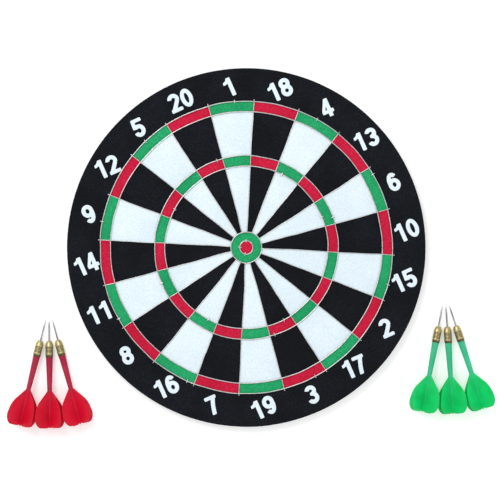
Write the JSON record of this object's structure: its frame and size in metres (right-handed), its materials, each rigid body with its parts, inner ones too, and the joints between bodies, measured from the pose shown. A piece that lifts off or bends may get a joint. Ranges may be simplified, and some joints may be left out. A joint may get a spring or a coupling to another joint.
{
  "type": "steel-tip dartboard set",
  "caption": "Round flocked paper dartboard with a stapled wire spider and clock numbers, lying face up beside fanned steel-tip darts.",
  "frame": {"origin": "centre of the board's flat back face, which lies on the surface", "axes": "+Z out of the playing face, +Y from the bull towards the 20, +X towards the 6"},
  "size_m": [0.5599, 0.5093, 0.0322],
  "materials": {
    "core_paper": "coiled kraft paper tape",
    "rim_paper": "matt black wrapping paper",
    "back_paper": "matt dark backing paper",
    "black_flock": "short black flock",
    "white_flock": "short white flock",
    "red_flock": "short red flock",
    "green_flock": "short green flock",
    "spider_wire": "galvanised drawn wire",
    "staple_wire": "galvanised staple wire",
    "hanger_steel": "zinc-plated steel",
    "needle_steel": "polished steel needle",
    "barrel_brass": "dull turned brass",
    "red_plastic": "moulded red plastic",
    "green_plastic": "moulded green plastic"
  },
  "bodies": {
    "board": {"paper_core": "core_paper", "rim_band": "rim_paper", "back_sheet": "back_paper", "number_ring": "black_flock", "numbers": "white_flock", "black_fields": "black_flock", "white_fields": "white_flock", "red_fields": "red_flock", "green_fields": "green_flock", "outer_bull_field": "green_flock", "inner_bull_field": "red_flock", "double_outer_wire": "spider_wire", "double_inner_wire": "spider_wire", "triple_outer_wire": "spider_wire", "triple_inner_wire": "spider_wire", "outer_bull_wire": "spider_wire", "inner_bull_wire": "spider_wire", "radial_wires": "spider_wire", "staples": "staple_wire", "hanger_strap": "hanger_steel", "hanger_nails": "hanger_steel"},
    "hanger_ring": {"hanger_ring": "hanger_steel"},
    "red_dart_left": {"red_dart_left_needle": "needle_steel", "red_dart_left_barrel": "barrel_brass", "red_dart_left_flight": "red_plastic"},
    "red_dart_middle": {"red_dart_middle_needle": "needle_steel", "red_dart_middle_barrel": "barrel_brass", "red_dart_middle_flight": "red_plastic"},
    "red_dart_right": {"red_dart_right_needle": "needle_steel", "red_dart_right_barrel": "barrel_brass", "red_dart_right_flight": "red_plastic"},
    "green_dart_left": {"green_dart_left_needle": "needle_steel", "green_dart_left_barrel": "barrel_brass", "green_dart_left_flight": "green_plastic"},
    "green_dart_middle": {"green_dart_middle_needle": "needle_steel", "green_dart_middle_barrel": "barrel_brass", "green_dart_middle_flight": "green_plastic"},
    "green_dart_right": {"green_dart_right_needle": "needle_steel", "green_dart_right_barrel": "barrel_brass", "green_dart_right_flight": "green_plastic"}
  },
  "joints": [
    {"name": "hanger_ring_swing", "type": "hinge", "parent": "board", "child": "hanger_ring", "pos_m": [0, 0.172, 0.00208], "axis": [1, 0, 0], "range_deg": [0, 180]},
    {"name": "red_dart_left_lift", "type": "slide", "parent": "board", "child": "red_dart_left", "axis": [0, 0, 1], "range_m": [0, 0.08]},
    {"name": "red_dart_middle_lift", "type": "slide", "parent": "board", "child": "red_dart_middle", "axis": [0, 0, 1], "range_m": [0, 0.08]},
    {"name": "red_dart_right_lift", "type": "slide", "parent": "board", "child": "red_dart_right", "axis": [0, 0, 1], "range_m": [0, 0.08]},
    {"name": "green_dart_left_lift", "type": "slide", "parent": "board", "child": "green_dart_left", "axis": [0, 0, 1], "range_m": [0, 0.08]},
    {"name": "green_dart_middle_lift", "type": "slide", "parent": "board", "child": "green_dart_middle", "axis": [0, 0, 1], "range_m": [0, 0.08]},
    {"name": "green_dart_right_lift", "type": "slide", "parent": "board", "child": "green_dart_right", "axis": [0, 0, 1], "range_m": [0, 0.08]}
  ]
}
